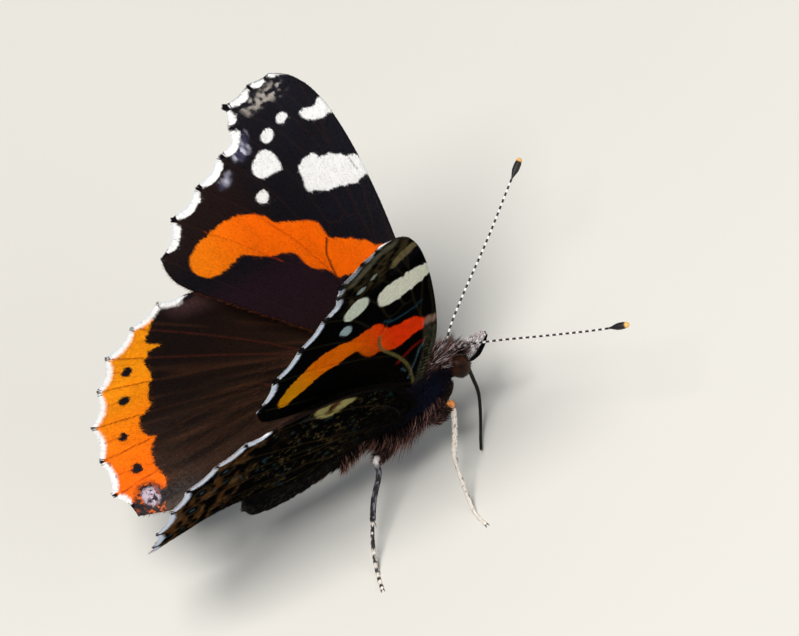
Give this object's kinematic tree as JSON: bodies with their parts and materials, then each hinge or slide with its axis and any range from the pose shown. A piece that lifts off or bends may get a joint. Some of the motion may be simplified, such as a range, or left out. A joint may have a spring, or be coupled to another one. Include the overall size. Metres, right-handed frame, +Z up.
{
  "type": "red admiral butterfly",
  "caption": "Life-size red admiral butterfly standing on its four walking legs, wings raised and half open, feelers spread and proboscis let down.",
  "frame": {"origin": "on the floor, at the middle of the bottom of the box that holds the whole animal", "axes": "+X towards the head, along the body; +Y towards the animal's left; +Z up, away from the floor"},
  "size_m": [0.0424, 0.0228, 0.0409],
  "materials": {
    "fur_dark": "dense short hair, blue-black above and brown below",
    "abdomen_dark": "fine scales and short hair in soft rings",
    "eye": "smooth dark brown, faintly hairy",
    "palp_fur": "brown bristly hair above, black below",
    "antenna": "black with narrow white rings, club black with a pale orange tip",
    "proboscis": "smooth dark tube",
    "leg": "greyish scales with black joints",
    "forewing": "velvety scales, black-brown with an orange-red band and white marks",
    "hindwing": "velvety scales, dark brown with an orange border and black dots"
  },
  "bodies": {
    "root": {"thorax": "fur_dark", "abdomen": "abdomen_dark", "head": "fur_dark", "eye_left": "eye", "eye_right": "eye", "palp_left": "palp_fur", "palp_right": "palp_fur", "antenna_left": "antenna", "antenna_right": "antenna", "proboscis": "proboscis", "fore_leg_left": "leg", "fore_leg_right": "leg", "mid_leg_left": "leg", "mid_leg_right": "leg", "hind_leg_left": "leg", "hind_leg_right": "leg", "forewing_left": "forewing", "forewing_right": "forewing", "hindwing_left": "hindwing", "hindwing_right": "hindwing"}
  },
  "joints": []
}
